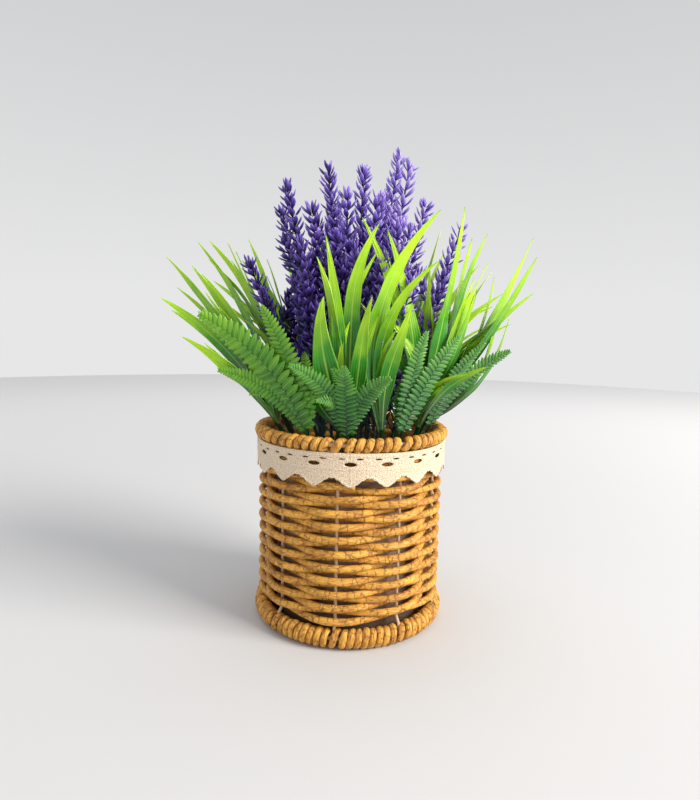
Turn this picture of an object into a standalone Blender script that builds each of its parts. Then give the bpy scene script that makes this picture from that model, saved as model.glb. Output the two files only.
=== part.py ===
"""Potted lavender: plastic lavender sprigs, grass picks and fern picks pushed into a foam plug,
inside a round basket that is woven from paper rope on a wire frame.

Metres, +Z up. The origin is on the floor under the middle of the basket, and -Y is its front.
An azimuth is measured from the front, positive towards +X."""

import math

import bmesh
import bpy
from mathutils import Vector

MM = 0.001
GAP = 0.3  # mm, left between two pieces that touch

# Driving sizes of the basket, in mm.
STAKES = 9
STAKE_CIRCLE = 45.6  # radius on which the upright wires stand
FIRST_STAKE = -7.5  # azimuth of one upright, in degrees
WIRE = 0.8  # radius of the upright wires
HOOP_WIRE = 1.0  # radius of the two hoops' wire
ROPE = 1.6  # radius of the woven rope
ROW_PITCH = 3.4  # rise of the weave in one turn
WEAVE_LOW = 13.5
WEAVE_HIGH = 92.5
RIM_HOOP = (48.7, 101.2)  # radius and height of the upper hoop's middle
FOOT_HOOP = (48.0, 5.0)
RIM_HALF = (3.7, 3.7)  # half width and half height of the rope wound on the hoop
FOOT_HALF = (4.0, 5.0)
CHANNEL = 1.8  # radius of the space that the winding leaves for its hoop
SHOULDER = 0.6  # height of the slot's foot over the channel's middle, as a share of CHANNEL
HOOP_STEPS = 36  # sides of everything that is turned round Z
OUTER_SIDES = 10  # sides of a winding's profile, if it had no slot
ROPE_SLACK = 0.2  # more room between the rope and an upright, where the rope bends

# Sizes inside the basket, in mm.
FLOOR_RADIUS = 43.4
FLOOR_LOW = 0.0
FLOOR_THICK = 2.5
FOAM_RADIUS = 40.4
FOAM_TOP = 82.0
SOCKET_DEPTH = 14.0
SOCKET_FLAT = math.cos(math.pi / 6)  # a six-sided socket is this much narrower at its flats
LACE_INSIDE = 50.5
LACE_THICK = 0.9
LACE_TOP = 97.4
LACE_POINT = 81.5
LACE_VALLEY = 86.0
SCALLOPS = 18
SCALLOP_STEPS = 4

# Sizes of the plants, in mm.
LAVENDER_STEM = 1.1  # radius
GRASS_STEM = 2.3
FERN_STEM = 1.5
LEAF_THICK = 0.8
BLADE_STEPS = 6  # along a grass blade
FROND_STEPS = 12  # along a fern frond, one to each leaflet or notch
FACE_UP = 0.3  # how far a leaf's face turns up
FACE_FRONT = Vector((0, -0.6, 0))  # how far it turns to the front, if it isn't at the back
BACK_ROW = 30  # a leaf whose tip has a higher y is at the back
SPRIG_BOW = 3
SPRIG_STEPS = 12
SPIKE_SHARE = 0.42  # where the florets begin, as a share of a sprig's length
SPIKE_WIDE = 4.6  # radius of the florets' outline
SPIKE_FOOT = 0.3  # its radius at the foot, as a share
SPIKE_TOP = [0.7, 0.15]  # and at the last two points

# Lavender sprigs: the foot on the foam (x, y), then the tip (x, y, z).
LAVENDER = (
    ((-14, -4), (-37, -6, 231)),
    ((-16, 8), (-42, 14, 222)),
    ((-20, 0), (-57, -8, 192)),
    ((-6, 2), (-16, 4, 243)),
    ((-10, -10), (-23, -20, 218)),
    ((-3, -10), (-5, -16, 226)),
    ((2, 4), (4, 8, 243)),
    ((9, 2), (23, 6, 251)),
    ((11, -8), (27, -14, 240)),
    ((15, 2), (38, 4, 225)),
    ((19, -4), (57, -2, 212)),
    ((5, -14), (10, -26, 222)),
    ((-4, -18), (-10, -24, 204)),
    ((14, -20), (22, -21, 211)),
    ((-6, 14), (-14, 28, 234)),
    ((8, 14), (18, 30, 236)),
    ((-14, -18), (-27, -33, 199)),
)

# Grass picks: foot (x, y), crown (x, y, z), then each blade's tip (x, y, z), width and bow.
GRASS = {
    "left_front": (
        (-24, -12),
        (-38, -19, 106),
        (
            (-96, -14, 190, 8, 5),
            (-86, -4, 187, 7, 4),
            (-97, -20, 169, 8, 6),
            (-84, -30, 150, 7, 4),
            (-52, -24, 150, 8, -3),
        ),
    ),
    "left_back": (
        (-26, 8),
        (-38, 6, 106),
        (
            (-88, 16, 202, 7, 6),
            (-77, -2, 200, 9, 10),
            (-97, 6, 176, 7, 5),
            (-73, 24, 203, 6, 6),
            (-60, 18, 204, 5, 6),
        ),
    ),
    "front_left": (
        (-8, -30),
        (-6, -38, 108),
        ((-14, -47, 170, 11, -4), (-18, -36, 189, 6, 3), (-14, -36, 199, 6, 3)),
    ),
    "front_mid": (
        (2, -26),
        (0, -34, 106),
        ((11, -36, 205, 9, 7), (8, -54, 170, 7, 3)),
    ),
    "front_right": (
        (13, -30),
        (15, -37, 106),
        ((39, -40, 211, 11, 15), (27, -46, 168, 7, 4)),
    ),
    "right_front": (
        (28, -14),
        (34, -24, 106),
        (
            (54, -18, 217, 8, -2),
            (3, -34, 208, 6, 7),
            (15, -32, 203, 7, 5),
            (61, -4, 204, 8, -2),
            (69, -10, 191, 8, 2),
            (64, -40, 139, 6, 5),
        ),
    ),
    "right_back": (
        (28, 6),
        (40, -4, 106),
        (
            (95, 2, 206, 10, -4),
            (93, -12, 194, 7, -2),
            (94, -6, 176, 7, 6),
            (74, 18, 210, 7, 4),
            (80, 30, 190, 7, 6),
        ),
    ),
    "back_left": (
        (-16, 26),
        (-26, 34, 106),
        ((-70, 50, 196, 8, 8), (-48, 62, 206, 8, 10), (-84, 36, 182, 7, 8), (-20, 48, 212, 6, 6)),
    ),
    "back_mid": (
        (4, 30),
        (6, 40, 106),
        ((0, 72, 190, 8, 8), (20, 66, 206, 8, 8), (-12, 56, 210, 6, 6), (36, 60, 184, 7, 8)),
    ),
    "back_right": (
        (22, 24),
        (31, 28, 106),
        ((76, 46, 196, 8, 8), (56, 60, 204, 8, 8), (88, 34, 178, 7, 8), (50, 36, 214, 6, 6)),
    ),
}

# Fern picks, in the same order of values.
FERNS = {
    "left": (
        (-20, -28),
        (-22, -38, 106),
        ((-73, -38, 161, 15, 7), (-43, -42, 165, 11, 3), (-66, -30, 134, 9, 6)),
    ),
    "front": (
        (-2, -35),
        (-2, -42, 104),
        ((-28, -58, 139, 9, 6), (-4, -58, 139, 9, 2), (17, -58, 134, 9, 5)),
    ),
    "right_front": ((22, -28), (25, -35, 106), ((50, -38, 153, 10, 2), (34, -44, 155, 9, 2))),
    "right": ((34, -9), (41, -14, 106), ((64, -30, 150, 10, 3), (80, -18, 146, 10, 5))),
    "back_left": ((-31, 17), (-37, 22, 106), ((-70, 46, 142, 12, 6), (-54, 62, 146, 11, 6))),
    "back_right": ((17, 31), (20, 38, 106), ((34, 76, 144, 12, 6), (64, 58, 140, 11, 6))),
}


def around(radius, azimuth, height):
    """The point at this radius, azimuth and height, in mm."""
    angle = math.radians(azimuth)
    return Vector((radius * math.sin(angle), -radius * math.cos(angle), height))


def clear_scene():
    for old in list(bpy.data.objects):
        bpy.data.objects.remove(old, do_unlink=True)


def make_collection(name, hidden=False):
    made = bpy.data.collections.new(name)
    made.hide_render = hidden
    bpy.context.scene.collection.children.link(made)
    return made


def make_material(name, colour, roughness, metallic=0.0):
    made = bpy.data.materials.new(name)
    made.use_nodes = True
    shader = made.node_tree.nodes["Principled BSDF"]
    shader.inputs["Base Color"].default_value = (*colour, 1.0)
    shader.inputs["Roughness"].default_value = roughness
    shader.inputs["Metallic"].default_value = metallic
    return made


def add_part(name, data, material, smooth=True):
    """Puts a mesh or a curve in the parts' collection as one named object."""
    obj = bpy.data.objects.new(name, data)
    data.materials.append(material)
    parts.objects.link(obj)
    if smooth and isinstance(data, bpy.types.Mesh):
        data.shade_smooth()
    return obj


def tube_curve(name, points, radius, shares=None, sides_step=1):
    """A wire, stem or rope: a polyline in mm, with 4 + 2 * sides_step sides and filled ends.
    shares scales the radius at each point."""
    curve = bpy.data.curves.new(name, "CURVE")
    curve.dimensions = "3D"
    curve.bevel_depth = radius * MM
    curve.bevel_resolution = sides_step
    curve.use_fill_caps = True
    line = curve.splines.new("POLY")
    line.points.add(len(points) - 1)
    for index, place in enumerate(points):
        line.points[index].co = (*(place * MM), 1.0)
        line.points[index].radius = shares[index] if shares else 1.0
    return curve


def mesh_of(obj):
    """The object's evaluated mesh with its loose caps welded. The object is then removed."""
    graph = bpy.context.evaluated_depsgraph_get()
    graph.update()
    mesh = bpy.data.meshes.new_from_object(obj.evaluated_get(graph))
    bm = bmesh.new()
    bm.from_mesh(mesh)
    bmesh.ops.remove_doubles(bm, verts=bm.verts, dist=1e-6)
    bm.to_mesh(mesh)
    bm.free()
    bpy.data.objects.remove(obj, do_unlink=True)
    return mesh


def merged(name, meshes):
    """One mesh that holds all of these as loose shells."""
    bm = bmesh.new()
    for mesh in meshes:
        bm.from_mesh(mesh)
    result = bpy.data.meshes.new(name)
    bm.to_mesh(result)
    bm.free()
    return result


def add_boolean(obj, cutter_mesh, operation, overlapping=False):
    """Joins or cuts with a hidden helper. overlapping says that one mesh crosses itself."""
    helper = bpy.data.objects.new(obj.name + "_helper", cutter_mesh)
    helper.hide_render = True
    helper.display_type = "WIRE"
    cutters.objects.link(helper)
    boolean = obj.modifiers.new(operation.lower(), "BOOLEAN")
    boolean.operation = operation
    boolean.solver = "EXACT"
    boolean.use_self = overlapping
    boolean.object = helper


def screw(obj, steps):
    """Turns the object's profile once round Z."""
    turned = obj.modifiers.new("turned", "SCREW")
    turned.steps = steps
    turned.render_steps = steps
    turned.use_merge_vertices = True
    turned.merge_threshold = 0.00001
    turned.use_normal_calculate = False


def profile_mesh(name, outline, closed):
    """The edges of a profile in the XZ plane, from (radius, height) pairs in mm."""
    mesh = bpy.data.meshes.new(name)
    edges = [(i, i + 1) for i in range(len(outline) - 1)]
    if closed:
        edges.append((len(outline) - 1, 0))
    mesh.from_pydata([(r * MM, 0, z * MM) for r, z in outline], edges, [])
    return mesh


def bent(start, end, bow, steps):
    """Points on a parabola from start to end. Its middle stands off the chord by bow, upwards."""
    chord = (end - start).normalized()
    up = Vector((0, 0, 1))
    side = (up - chord * up.dot(chord)).normalized()
    knee = (start + end) / 2 + side * 2 * bow
    points = []
    for index in range(steps + 1):
        t = index / steps
        points.append(start * (1 - t) ** 2 + knee * 2 * t * (1 - t) + end * t**2)
    return points


def make_hoop(name, hoop):
    """A welded wire ring as a mesh."""
    bpy.ops.mesh.primitive_torus_add(
        major_radius=hoop[0] * MM,
        minor_radius=HOOP_WIRE * MM,
        major_segments=HOOP_STEPS,
        minor_segments=5,
        location=(0, 0, hoop[1] * MM),
    )
    ring = bpy.context.object
    ring.name = name
    ring.data.transform(ring.matrix_world)
    mesh = ring.data.copy()
    bpy.data.objects.remove(ring, do_unlink=True)
    return mesh


def make_wire_frame():
    """Two hoops and the uprights welded between them, which flare at both ends."""
    uprights = []
    for index in range(STAKES):
        azimuth = FIRST_STAKE + 360 / STAKES * index
        route = (
            FOOT_HOOP,
            (FOOT_HOOP[0], FOOT_HOOP[1] + FOOT_HALF[1] + GAP),
            (STAKE_CIRCLE, WEAVE_LOW),
            (STAKE_CIRCLE, WEAVE_HIGH),
            (RIM_HOOP[0], RIM_HOOP[1] - RIM_HALF[1] - GAP),
            RIM_HOOP,
        )
        points = [around(radius, azimuth, height) for radius, height in route]
        wire = add_part("upright", tube_curve("upright", points, WIRE), wire_metal)
        uprights.append(mesh_of(wire))
    frame = add_part("wire_frame", make_hoop("foot_hoop", FOOT_HOOP), wire_metal)
    add_boolean(frame, make_hoop("rim_hoop", RIM_HOOP), "UNION")
    add_boolean(frame, merged("uprights", uprights), "UNION")


def weave_point(azimuth, height):
    """Where the rope's middle runs: outside one upright and inside the next. The number of
    uprights is odd, so each row passes them the other way round from the row below."""
    turn = math.radians(azimuth - FIRST_STAKE)
    offset = WIRE + GAP + ROPE + ROPE_SLACK
    return around(STAKE_CIRCLE + offset * math.cos(STAKES * turn / 2), azimuth, height)


def make_weaver(name, low, high):
    """One length of rope, wound up the uprights from low to high."""
    step = 180 / STAKES
    first = math.ceil((low - WEAVE_LOW) / ROW_PITCH * 360 / step)
    last = math.floor((high - WEAVE_LOW) / ROW_PITCH * 360 / step)
    points = []
    for index in range(first, last + 1):
        height = WEAVE_LOW + ROW_PITCH * index * step / 360
        points.append(weave_point(FIRST_STAKE + index * step, height))
    add_part(name, tube_curve(name, points, ROPE, sides_step=0), paper_rope)


def make_winding(name, hoop, half, slot_up):
    """Rope wound on a hoop, as a turned ring with a channel for the hoop and a slot on the
    side that the uprights come from. The side away from the slot is flat."""
    side = 1 if slot_up else -1
    slot = WIRE + 1.5 * GAP
    tall = half[1] / math.cos(math.pi / OUTER_SIDES)
    outer = []
    for index in range(1, OUTER_SIDES - 1):
        angle = math.radians(90 * side - 360 / OUTER_SIDES * (index + 0.5))
        outer.append((hoop[0] + half[0] * math.cos(angle), hoop[1] + tall * math.sin(angle)))
    lip = hoop[1] + side * half[1]
    inner = [
        (hoop[0] - side * slot, lip),
        (hoop[0] - side * slot, hoop[1] + side * CHANNEL * SHOULDER),
        (hoop[0] - side * CHANNEL, hoop[1]),
        (hoop[0], hoop[1] - side * CHANNEL),
        (hoop[0] + side * CHANNEL, hoop[1]),
        (hoop[0] + side * slot, hoop[1] + side * CHANNEL * SHOULDER),
        (hoop[0] + side * slot, lip),
    ]
    ring = add_part(name, profile_mesh(name, outer + inner, closed=True), paper_rope)
    screw(ring, HOOP_STEPS)


def make_floor():
    bpy.ops.mesh.primitive_cylinder_add(
        vertices=HOOP_STEPS,
        radius=FLOOR_RADIUS * MM,
        depth=FLOOR_THICK * MM,
        location=(0, 0, (FLOOR_LOW + FLOOR_THICK / 2) * MM),
    )
    take_primitive("floor_disc", paperboard)


def take_primitive(name, material):
    """Names the primitive just added and moves it into the parts' collection."""
    obj = bpy.context.object
    obj.name = name
    obj.data.materials.append(material)
    for holder in list(obj.users_collection):
        holder.objects.unlink(obj)
    parts.objects.link(obj)
    return obj


def make_foam():
    """The plug that fills the basket, with a socket for each stem."""
    low = FLOOR_LOW + FLOOR_THICK + GAP
    bpy.ops.mesh.primitive_cylinder_add(
        vertices=HOOP_STEPS,
        radius=FOAM_RADIUS * MM,
        depth=(FOAM_TOP - low) * MM,
        location=(0, 0, (FOAM_TOP + low) / 2 * MM),
    )
    foam = take_primitive("foam_block", soft_foam)
    holes = bmesh.new()
    stems = [(foot, LAVENDER_STEM) for foot, _ in LAVENDER]
    stems += [(pick[0], GRASS_STEM) for pick in GRASS.values()]
    stems += [(pick[0], FERN_STEM) for pick in FERNS.values()]
    for foot, radius in stems:
        made = bmesh.ops.create_cone(
            holes,
            cap_ends=True,
            segments=6,
            radius1=(radius + 2 * GAP) / SOCKET_FLAT * MM,
            radius2=(radius + 2 * GAP) / SOCKET_FLAT * MM,
            depth=2 * SOCKET_DEPTH * MM,
        )
        place = Vector((*foot, FOAM_TOP)) * MM
        bmesh.ops.translate(holes, verts=made["verts"], vec=place)
    cutter = bpy.data.meshes.new("sockets")
    holes.to_mesh(cutter)
    holes.free()
    add_boolean(foam, cutter, "DIFFERENCE")


def make_lace():
    """A cotton band round the weave: straight above, scalloped below."""
    columns = SCALLOPS * SCALLOP_STEPS
    bm = bmesh.new()
    rows = []
    for index in range(columns):
        azimuth = 360 * index / columns
        drop = abs(math.cos(math.radians(azimuth * SCALLOPS / 2)))
        low = LACE_VALLEY + (LACE_POINT - LACE_VALLEY) * drop
        rows.append([bm.verts.new(around(LACE_INSIDE, azimuth, z) * MM) for z in (low, LACE_TOP)])
    for index, column in enumerate(rows):
        beside = rows[(index + 1) % columns]
        bm.faces.new((column[0], beside[0], beside[1], column[1]))
    mesh = bpy.data.meshes.new("lace_band")
    bm.to_mesh(mesh)
    bm.free()
    lace = add_part("lace_band", mesh, cotton)
    shell = lace.modifiers.new("thickness", "SOLIDIFY")
    shell.thickness = LACE_THICK * MM
    shell.offset = 1.0


def make_sprig(index, foot, tip):
    """One lavender sprig: a stem, and above it the spike of florets on the same line."""
    ground = Vector((*foot, FOAM_TOP))
    line = bent(ground, Vector(tip), SPRIG_BOW, SPRIG_STEPS)
    split = round(SPIKE_SHARE * SPRIG_STEPS)
    bottom = ground - Vector((0, 0, SOCKET_DEPTH - GAP))
    stem = [bottom] + line[:split:2] + [line[split]]
    name = f"lavender_stem_{index:02d}"
    add_part(name, tube_curve(name, stem, LAVENDER_STEM), stem_plastic)
    along = (line[split + 1] - line[split]).normalized()
    spike = [line[split] + along * GAP * 2] + line[split + 1 :: 2]
    if spike[-1] != line[-1]:
        spike.append(line[-1])
    shares = [SPIKE_FOOT] + [1.0] * (len(spike) - 3) + SPIKE_TOP
    name = f"lavender_spike_{index:02d}"
    add_part(name, tube_curve(name, spike, SPIKE_WIDE, shares), floret_plastic)


def leaf_mesh(name, line, width_at, facing):
    """A flat leaf along a line. width_at gives half its width at each share of its length,
    and facing is the way its face looks."""
    bm = bmesh.new()
    rings = []
    for index, place in enumerate(line):
        ahead = line[min(index + 1, len(line) - 1)] - line[max(index - 1, 0)]
        across = ahead.cross(facing).normalized()
        face = across.cross(ahead).normalized() * LEAF_THICK / 2
        half = across * width_at(index / (len(line) - 1))
        corners = (place - half - face, place + half - face, place + half + face, place - half + face)
        rings.append([bm.verts.new(corner * MM) for corner in corners])
    for low, high in zip(rings, rings[1:]):
        for corner in range(4):
            beside = (corner + 1) % 4
            bm.faces.new((low[corner], low[beside], high[beside], high[corner]))
    bm.faces.new(reversed(rings[0]))
    bm.faces.new(rings[-1])
    bmesh.ops.recalc_face_normals(bm, faces=bm.faces)
    mesh = bpy.data.meshes.new(name)
    bm.to_mesh(mesh)
    bm.free()
    return mesh


def blade_half(width):
    """Half the width of a grass blade: narrow at its foot, widest at 0.45, pointed."""
    return lambda share: 0.25 + width / 2 * math.sin(math.pi * min(1, 0.12 + 0.85 * share)) ** 0.9


def frond_half(width):
    """Half the width of a fern frond, whose edge steps in and out with its leaflets."""

    def half(share):
        leaflet = 1.0 if round(share * FROND_STEPS) % 2 else 0.6
        return 0.6 + width / 2 * leaflet * math.sin(math.pi * min(1, 0.1 + 0.88 * share)) ** 0.7

    return half


def make_pick(name, pick, stem_radius, steps, half_of, material):
    """A moulded pick: a stem from its socket to a crown, and the leaves that leave it there."""
    foot, crown, leaves = pick
    crown = Vector(crown)
    ground = Vector((*foot, FOAM_TOP))
    bottom = ground - Vector((0, 0, SOCKET_DEPTH - GAP))
    stem_line = [bottom, ground, crown, crown + (crown - ground).normalized() * stem_radius]
    stem = add_part(name, tube_curve(name, stem_line, stem_radius), material)
    blades = []
    for x, y, z, width, bow in leaves:
        tip = Vector((x, y, z))
        facing = Vector((x, y, 0)).normalized() + Vector((0, 0, FACE_UP))
        if y < BACK_ROW:
            facing += FACE_FRONT
        line = bent(crown, tip, bow, steps)
        blades.append(leaf_mesh("leaf", line, half_of(width), facing))
    solid = add_part(name, mesh_of(stem), material, smooth=False)
    solid.name = name
    add_boolean(solid, merged(name + "_leaves", blades), "UNION", overlapping=True)


clear_scene()
parts = make_collection("potted_lavender")
cutters = make_collection("helpers", hidden=True)

wire_metal = make_material("pale_wire", (0.62, 0.50, 0.36), 0.45)
paper_rope = make_material("paper_rope", (0.62, 0.36, 0.08), 0.6)
cotton = make_material("cotton_lace", (0.80, 0.72, 0.60), 0.9)
paperboard = make_material("paperboard", (0.45, 0.33, 0.22), 0.85)
soft_foam = make_material("foam", (0.50, 0.32, 0.28), 0.95)
stem_plastic = make_material("dark_stem_plastic", (0.02, 0.07, 0.06), 0.5)
floret_plastic = make_material("floret_plastic", (0.10, 0.05, 0.35), 0.55)
grass_plastic = make_material("grass_plastic", (0.16, 0.50, 0.04), 0.4)
fern_plastic = make_material("fern_plastic", (0.08, 0.30, 0.07), 0.45)

make_wire_frame()
foam_row = WEAVE_LOW + ROW_PITCH * math.floor((FOAM_TOP - WEAVE_LOW) / ROW_PITCH)
make_weaver("weaver_lower", WEAVE_LOW, foam_row)
make_weaver("weaver_upper", foam_row + ROW_PITCH / STAKES, WEAVE_HIGH)
make_winding("rim_wrap", RIM_HOOP, RIM_HALF, slot_up=False)
make_winding("base_wrap", FOOT_HOOP, FOOT_HALF, slot_up=True)
make_floor()
make_foam()
make_lace()
for number, (foot, tip) in enumerate(LAVENDER, 1):
    make_sprig(number, foot, tip)
for place, pick in GRASS.items():
    make_pick("grass_" + place, pick, GRASS_STEM, BLADE_STEPS, blade_half, grass_plastic)
for place, pick in FERNS.items():
    make_pick("fern_" + place, pick, FERN_STEM, FROND_STEPS, frond_half, fern_plastic)
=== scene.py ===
"""The looks of a potted lavender: plastic lavender, grass and fern picks in a foam plug, inside a
basket woven from paper rope on a wire frame, with a cotton lace band.

Lengths are in millimetres until a mesh is made. An azimuth is measured from the front (-Y),
positive towards +X."""

from functools import partial

import bpy
import numpy as np
from mathutils import Matrix, Vector


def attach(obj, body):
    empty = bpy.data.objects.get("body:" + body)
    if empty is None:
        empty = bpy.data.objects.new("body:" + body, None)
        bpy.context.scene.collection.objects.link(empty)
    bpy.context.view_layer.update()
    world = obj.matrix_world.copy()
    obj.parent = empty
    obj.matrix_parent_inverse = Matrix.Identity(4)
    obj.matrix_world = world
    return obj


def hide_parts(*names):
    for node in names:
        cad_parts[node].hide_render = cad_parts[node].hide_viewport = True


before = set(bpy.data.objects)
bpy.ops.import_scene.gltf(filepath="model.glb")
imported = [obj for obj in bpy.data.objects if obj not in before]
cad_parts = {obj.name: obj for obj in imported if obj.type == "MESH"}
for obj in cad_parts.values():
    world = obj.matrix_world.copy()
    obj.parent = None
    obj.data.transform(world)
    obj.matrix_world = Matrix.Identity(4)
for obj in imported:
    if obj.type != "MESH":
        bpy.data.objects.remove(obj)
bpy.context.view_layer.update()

# -------- wire frame
# Nine upright steel wires with a beige coating, welded between an upper and a foot hoop. The
# weave and the windings hide most of the frame: short pale lengths show between the rows.

STAKES = 9  # upright wires
FIRST_STAKE = -7.5  # azimuth of one of them
STAKE_CIRCLE = 45.6  # radius on which they stand
WEAVE_LOW = 13.5
WEAVE_HIGH = 92.5
RIM_HOOP = (48.7, 101.2)  # radius and height
FOOT_HOOP = (48.0, 5.0)
UPRIGHT_RADIUS = 0.8
HOOP_RADIUS = 1.0
FLARE_END = 4.0  # height between a hoop and the end of an upright's flare


def around(radius, azimuth, height):
    """The points at these radii, azimuths in degrees and heights."""
    angle = np.radians(azimuth)
    x, y = radius * np.sin(angle), -radius * np.cos(angle)
    return np.stack(np.broadcast_arrays(x, y, height), -1)


def full_turn(points):
    """The angles of points spread evenly round a circle, in radians."""
    return 2 * np.pi * np.arange(points) / points


def ease(share):
    """A share s from 0 to 1, made to start and stop gently: s * s * (3 - 2 * s)."""
    return share * share * (3 - 2 * share)


def unit(vectors):
    """The vectors over their lengths."""
    return vectors / np.linalg.norm(vectors, axis=-1, keepdims=True)


def headings(path, loop=False):
    """The direction of travel at each point of a path."""
    return unit(np.roll(path, -1, 0) - np.roll(path, 1, 0) if loop else np.gradient(path, axis=0))


def tube(path, side, wide, deep, points, loop=False):
    """Rings round a path. At the angle a, a ring's point stands off the path by wide * cos(a)
    along the side direction, and by deep * sin(a) across it."""
    ahead = headings(path, loop)
    side = unit(side - ahead * (side * ahead).sum(-1, keepdims=True))
    across = np.cross(ahead, side)
    angle = full_turn(points)[:, None]
    out = np.cos(angle) * side[:, None] * np.reshape(wide, (-1, 1, 1))
    up = np.sin(angle) * across[:, None] * np.reshape(deep, (-1, 1, 1))
    return path[:, None] + out + up


def quads_between(low, high):
    """The faces between rows of point numbers and the rows after them. Each row is a ring."""
    return np.stack([low, np.roll(low, -1, 1), np.roll(high, -1, 1), high], -1).reshape(-1, 4)


def skin(rings, loop=False, along=None, girth=1.0, **marks):
    """Closed skins from rings of points, copies x rings x points, that turn the right-hand way
    about their direction of travel. A loop joins the last ring to the first, and otherwise a
    point closes each end. UV is the way along, and the way round out of girth. Each mark is a
    number for every point."""
    rings = np.asarray(rings, float)
    rings = rings[None] if rings.ndim == 3 else rings
    copies, count, points = rings.shape[:3]
    spot = np.arange(count * points).reshape(count, points)
    low, high = (spot, np.roll(spot, -1, 0)) if loop else (spot[:-1], spot[1:])
    quads = quads_between(low, high)
    along = np.arange(count, dtype=float) if along is None else np.asarray(along, float)
    after = np.append(along[1:], 2 * along[-1] - along[-2])
    start, stop = along[: len(low), None], after[: len(low), None]
    left = np.arange(points) / points * girth
    right = left + girth / points
    corners = [(start, left), (start, right), (stop, right), (stop, left)]
    uv = np.stack([np.stack(np.broadcast_arrays(*corner), -1) for corner in corners], 2)
    cloud = rings.reshape(copies, -1, 3)
    marks = {name: np.broadcast_to(mark, (copies, count, points)) for name, mark in marks.items()}
    flat = {name: mark.reshape(copies, -1) for name, mark in marks.items()}
    tris, fan = np.zeros((0, 3), int), np.zeros((0, 2))
    if not loop:
        cloud = np.concatenate([cloud, rings[:, :1].mean(2), rings[:, -1:].mean(2)], 1)
        for name, mark in marks.items():
            ends = [mark[:, :1].mean(2), mark[:, -1:].mean(2)]
            flat[name] = np.concatenate([flat[name], *ends], 1)
        first, last = spot[0], spot[-1]
        pole = np.full(points, count * points)
        foot_fan = np.stack([pole, np.roll(first, -1), first], 1)
        tris = np.concatenate([foot_fan, np.stack([pole + 1, last, np.roll(last, -1)], 1)])
        middle = (left + right) / 2
        round_fan = [np.stack([middle, right, left], 1), np.stack([middle, left, right], 1)]
        along_fan = np.repeat([along[0], along[-1]], points)[:, None]
        fan = np.stack(np.broadcast_arrays(along_fan, np.concatenate(round_fan)), -1)
    shift = np.arange(copies)[:, None, None] * cloud.shape[1]
    return {
        "points": cloud.reshape(-1, 3),
        "quads": (quads + shift).reshape(-1, 4),
        "tris": (tris + shift).reshape(-1, 3),
        "uv": [np.tile(part.reshape(-1, 2), (copies, 1)) for part in (uv, fan)],
        "marks": {name: mark.reshape(-1) for name, mark in flat.items()},
    }


def add_piece(name, skins, material, nodes, crease=None):
    """One object from skins in mm, with its material and its place in the frame. The marks
    become float attributes and the UV map is named run. Edges sharper than crease, in degrees,
    stay crisp."""
    offsets = np.cumsum([0] + [len(part["points"]) for part in skins])
    points = np.concatenate([part["points"] for part in skins]) / 1000
    quads = np.concatenate([part["quads"] + o for part, o in zip(skins, offsets)])
    tris = np.concatenate([part["tris"] + o for part, o in zip(skins, offsets)])
    mesh = bpy.data.meshes.new(name)
    mesh.vertices.add(len(points))
    mesh.vertices.foreach_set("co", points.ravel())
    mesh.loops.add(quads.size + tris.size)
    mesh.loops.foreach_set("vertex_index", np.concatenate([quads.ravel(), tris.ravel()]))
    mesh.polygons.add(len(quads) + len(tris))
    starts = np.concatenate([np.arange(len(quads)) * 4, quads.size + np.arange(len(tris)) * 3])
    mesh.polygons.foreach_set("loop_start", starts)
    mesh.update(calc_edges=True)
    uv = np.concatenate([part["uv"][0] for part in skins] + [part["uv"][1] for part in skins])
    mesh.uv_layers.new(name="run").data.foreach_set("uv", uv.ravel())
    for mark in skins[0]["marks"]:
        values = np.concatenate([part["marks"][mark] for part in skins])
        mesh.attributes.new(mark, "FLOAT", "POINT").data.foreach_set("value", values)
    mesh.shade_smooth()
    if crease:
        mesh.set_sharp_from_angle(angle=np.radians(crease))
    return dress(bpy.data.objects.new(name, mesh), material, nodes)


def dress(piece, material, nodes):
    """Gives a new object its material. It rides on the root and stands for the CAD nodes."""
    bpy.context.scene.collection.objects.link(piece)
    piece.data.materials.append(material)
    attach(piece, "root")
    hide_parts(*nodes)
    return piece


def linear(code):
    """An sRGB hex colour as linear red, green, blue and alpha."""
    parts = np.array([int(code[i : i + 2], 16) / 255 for i in (1, 3, 5)])
    light = np.where(parts <= 0.04045, parts / 12.92, ((parts + 0.055) / 1.055) ** 2.4)
    return (*light.tolist(), 1.0)


def add_node(tree, kind, inputs=(), **settings):
    """Adds one node. Its inputs are given by name or index, or as a tuple in their order: a
    MapRange's are the value, from min, from max, to min and to max. Each takes a value, a hex
    colour, a link from an output, or a node, which stands for its first output in use."""
    made = tree.nodes.new("ShaderNode" + kind)
    if kind == "Mix":
        made.data_type = "RGBA"  # every Mix here is of colours
    for key, value in settings.items():
        setattr(made, key, value)
    for key, value in inputs.items() if isinstance(inputs, dict) else enumerate(inputs):
        if isinstance(value, str):
            value = linear(value)
        if isinstance(value, bpy.types.Node):
            value = next(output for output in value.outputs if output.enabled)
        if isinstance(value, bpy.types.NodeSocket):
            tree.links.new(value, made.inputs[key])
        else:
            made.inputs[key].default_value = value
    return made


def new_material(name, roughness):
    """A material, its Principled shader, and add_node for its tree."""
    made = bpy.data.materials.new(name)
    made.use_nodes = True
    shader = made.node_tree.nodes["Principled BSDF"]
    shader.inputs["Roughness"].default_value = roughness
    return made, shader, partial(add_node, made.node_tree)


def finish(shader, colour, relief=None, strength=1.0, depth=0.0):
    """Ends a material with its colour, and with bumps that follow a relief, depth in metres."""
    tree = shader.id_data
    tree.links.new(colour.outputs[2], shader.inputs["Base Color"])
    if relief:
        bumps = {"Height": relief, "Strength": strength, "Distance": depth}
        tree.links.new(add_node(tree, "Bump", bumps).outputs[0], shader.inputs["Normal"])


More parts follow.
